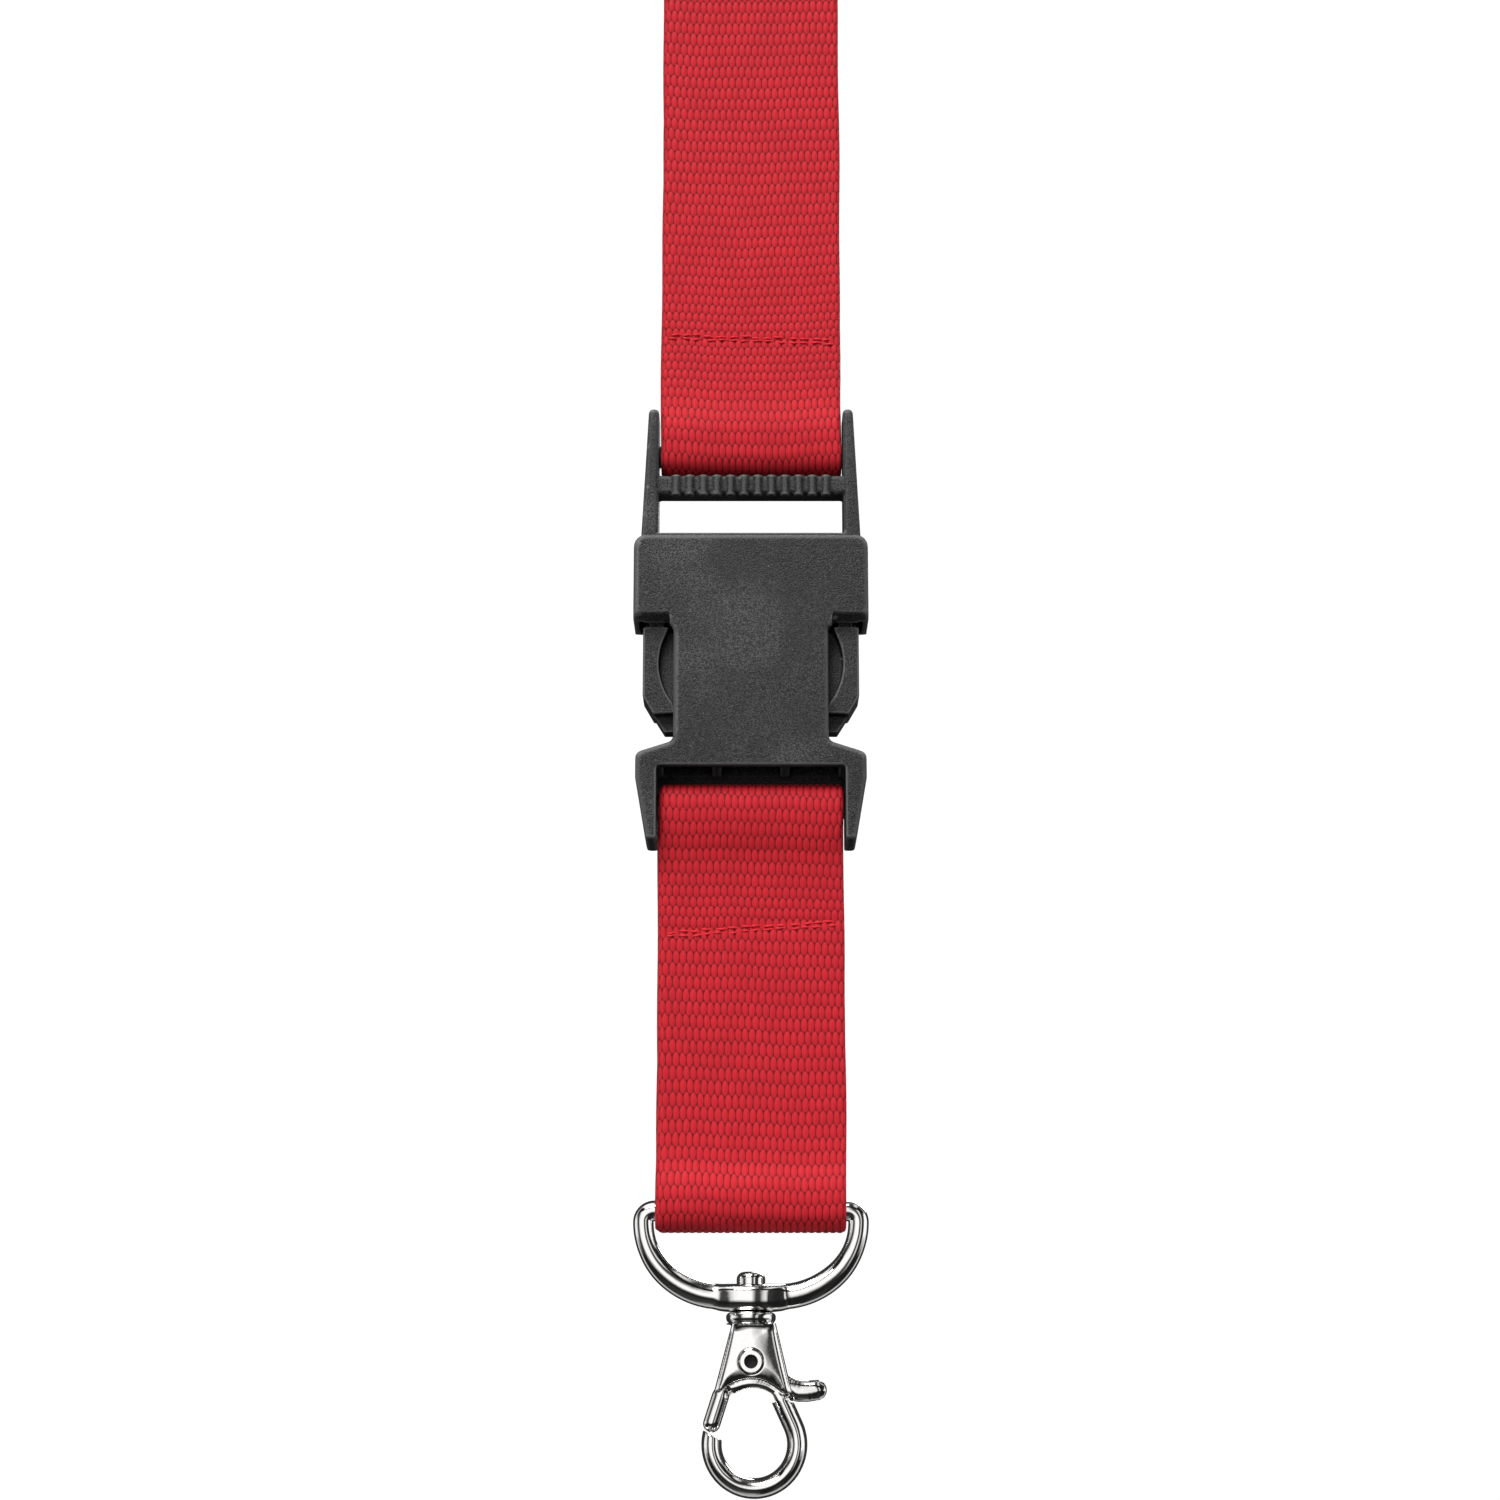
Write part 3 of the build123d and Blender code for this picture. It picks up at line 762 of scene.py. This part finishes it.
def add_world():
    """White behind the object, and a tent with dark gaps for what the metal reflects."""
    world = bpy.data.worlds.new("studio")
    scene.world = world
    world.use_nodes = True
    nodes = Nodes(world.node_tree)
    nodes.tree.nodes.clear()

    direction = nodes.add("ShaderNodeTexCoord").outputs["Generated"]
    x, y, z = nodes.add("ShaderNodeSeparateXYZ", Vector=direction).outputs
    sideways = nodes.math("MULTIPLY_ADD", x, 0.5, 0.5)
    deep = nodes.math("MULTIPLY_ADD", y, 0.5, 0.5)
    tall = nodes.math("MULTIPLY_ADD", z, 0.5, 0.5)
    front = nodes.math("MULTIPLY", nodes.ramp(sideways, tent_across), nodes.ramp(tall, tent_upright))
    away = nodes.math("MULTIPLY_ADD", z, view_rise, nodes.math("MULTIPLY", y, view_level))
    wall = nodes.ramp(away, wall_inward)
    rear = nodes.math("MULTIPLY", wall, nodes.ramp(tall, wall_upright))
    tent = nodes.mix(nodes.ramp(deep, front_to_rear), front, rear)
    tent = nodes.math("MULTIPLY_ADD", tent, 1.15, 0.012)
    path = nodes.add("ShaderNodeLightPath").outputs
    lit = nodes.mix(path["Is Glossy Ray"], nodes.ramp(tall, skylight_upright), tent)
    around = nodes.add("ShaderNodeBackground", Color=lit)
    behind = nodes.add("ShaderNodeBackground", Color=grey(1), Strength=1.05)
    both = nodes.add("ShaderNodeMixShader")
    nodes.join(path["Is Camera Ray"], both.inputs[0])
    nodes.join(around.outputs[0], both.inputs[1])
    nodes.join(behind.outputs[0], both.inputs[2])
    nodes.add("ShaderNodeOutputWorld", Surface=both.outputs[0])


def add_light(name, place, size, power):
    """A soft area light that points at the buckle."""
    data = bpy.data.lights.new(name, "AREA")
    data.size = size
    data.energy = power
    light = bpy.data.objects.new(name, data)
    light.location = place
    aim = Vector((0, 0, datum * mm)) - Vector(place)
    light.rotation_euler = aim.to_track_quat("-Z", "Y").to_euler()
    scene.collection.objects.link(light)


def add_floor():
    """A pale round floor, well below the hook."""
    shape = bmesh.new()
    bmesh.ops.create_circle(shape, cap_ends=True, segments=96, radius=2.6)
    mesh = bpy.data.meshes.new("floor")
    shape.to_mesh(mesh)
    shape.free()
    floor = new_object("floor", mesh)
    floor.location.z = cad_lo.z - 0.16
    shader = Shader("pale_floor")
    shader.set(Roughness=0.9)
    tone = shader.noise(shader.place(), 3.0, 2.0)
    shader.link(Base_Color=shader.mix(tone, grey(0.86), grey(0.90)))
    mesh.materials.append(shader.material)
    floor.visible_glossy = False
    floor.visible_diffuse = False


add_camera()

# ---------------------------------------------------------------- neck strap
neck_route = [
    (0.0, 50.5),
    (0.0, 41.0),
    (webbing_fold, 36.0),
    (webbing_fold, 31.55),
    (-webbing_fold, 31.55),
    (-webbing_fold, 35.5),
    (-1.22, 42.0),
    (-1.2, 54.0),
    (-1.35, 77.0),
    (-2.6, 113.0),
    (-7.5, 158.0),
    (-18.5, 212.0),
    (-34.5, 276.0),
    (-50.5, 341.0),
    (-60.5, 393.0),
    (-60.2, 437.0),
    (-25.0, neck_top),
    (25.0, neck_top),
    (60.2, 437.0),
    (60.5, 393.0),
    (50.5, 341.0),
    (34.5, 276.0),
    (18.5, 212.0),
    (7.5, 158.0),
    (2.6, 113.0),
    (1.35, 77.0),
    (1.2, 56.0),
    (1.22, 44.2),
]
neck_pitches = [(0, 1.3), (18, 1.4), (22, 1.42), (28, 1.3), (33, 1.0), (38, 0.95), (42, 1.15)]
neck_pitches += [(52, 1.28), (90, 1.35)]
neck_swells = [(36.0, 0, 2.0, 0.24), (46.65, -0.035, 0.6, -0.05)]
red_webbing = webbing_material()
red_thread = thread_material()

neck_strap, neck_line = webbing(
    "neck_webbing",
    neck_route,
    outer=1,
    fine=(14, 86),
    pitches=neck_pitches,
    lean=0.1,
    bow=-0.3,
    swells=neck_swells,
)
add_piece(neck_strap, "root", red_webbing)
neck_strap.visible_glossy = False
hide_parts("neck_strap")
neck_seam = stitch_mesh("neck_seam", 47.0, 46.3, (-1.74, 1.86), 3)
add_piece(neck_seam, "root", red_thread)
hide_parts("neck_stitching")

# ---------------------------------------------------------------- lower strap
lower_route = [
    (0.6, -27.0),
    (0.6, -13.0),
    (webbing_fold, -8.8),
    (webbing_fold, -4.45),
    (-webbing_fold, -4.45),
    (-webbing_fold, -8.8),
    (-0.62, -13.0),
    (-0.6, -29.0),
    (-0.62, -44.0),
    (-ring_fold, -47.3),
    (-ring_fold, -51.35),
    (ring_fold, -51.35),
    (ring_fold, -47.3),
    (0.62, -44.0),
    (0.6, -31.0),
    (1.8, -27.5),
    (1.82, -15.5),
]
lower_pitches = [(0, 1.4), (28, 1.42), (34, 1.4), (38, 1.05), (42, 1.35), (60, 1.42)]
lower_swells = [(-47.9, 0, 1.8, 0.12), (-19.6, 0.07, 0.6, -0.06)]
lower_strap, _ = webbing(
    "lower_webbing",
    lower_route,
    outer=-1,
    fine=(0, 200),
    pitches=lower_pitches,
    lean=-0.4,
    bow=0.1,
    swells=lower_swells,
)
add_piece(lower_strap, "strap_loop", red_webbing)
lower_strap.visible_glossy = False
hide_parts("lower_strap")
lower_seam = stitch_mesh("lower_seam", -20.6, -19.2, (-1.10, 2.46), 5)
add_piece(lower_seam, "strap_loop", red_thread)
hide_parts("lower_stitching")

# ---------------------------------------------------------------- buckle
charcoal = plastic_material()
for node, body, voxel, passes in (
    ("male_body", "buckle_male", 0.13, 2),
    ("left_prong", "left_latch", 0.12, 2),
    ("right_prong", "right_latch", 0.12, 2),
    ("female_body", "buckle_female", 0.2, 3),
):
    add_piece(softened(node, voxel, passes), body, charcoal)

# ---------------------------------------------------------------- ring and hook
nickel = nickel_material()
ring = add_piece(ring_mesh(), "ring", nickel)
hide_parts("d_ring")
hook = add_piece(softened("hook_body", 0.09, 5), "hook", nickel)
pillow(hook, low=-69.0, high=-61.3, radius=2.6, share=0.16, out=1.35)
round_collar(hook)
lever = add_piece(softened("gate_lever", 0.08, 4), "gate", nickel)
pillow(lever, low=-90, high=-40, radius=0.95, share=0.75, out=0)
paint("swivel_rivet", nickel)
pin = paint("gate_pin", nickel, bore_shade_material())
# The faces in the pin's bore get the painted shade material, for the shade in the hole.
for polygon in pin.polygons:
    polygon.material_index = int(pivot_distance(polygon.center) < pin_bore * mm)
paint("gate_spring", spring_material())

# ---------------------------------------------------------------- studio and finish
add_world()
add_floor()
add_light("key", (-0.42, -1.0, 1.0), 0.9, 38)
add_light("rear", (0.4, 1.0, 0.2), 0.7, 7)
scene.view_settings.view_transform = "Standard"
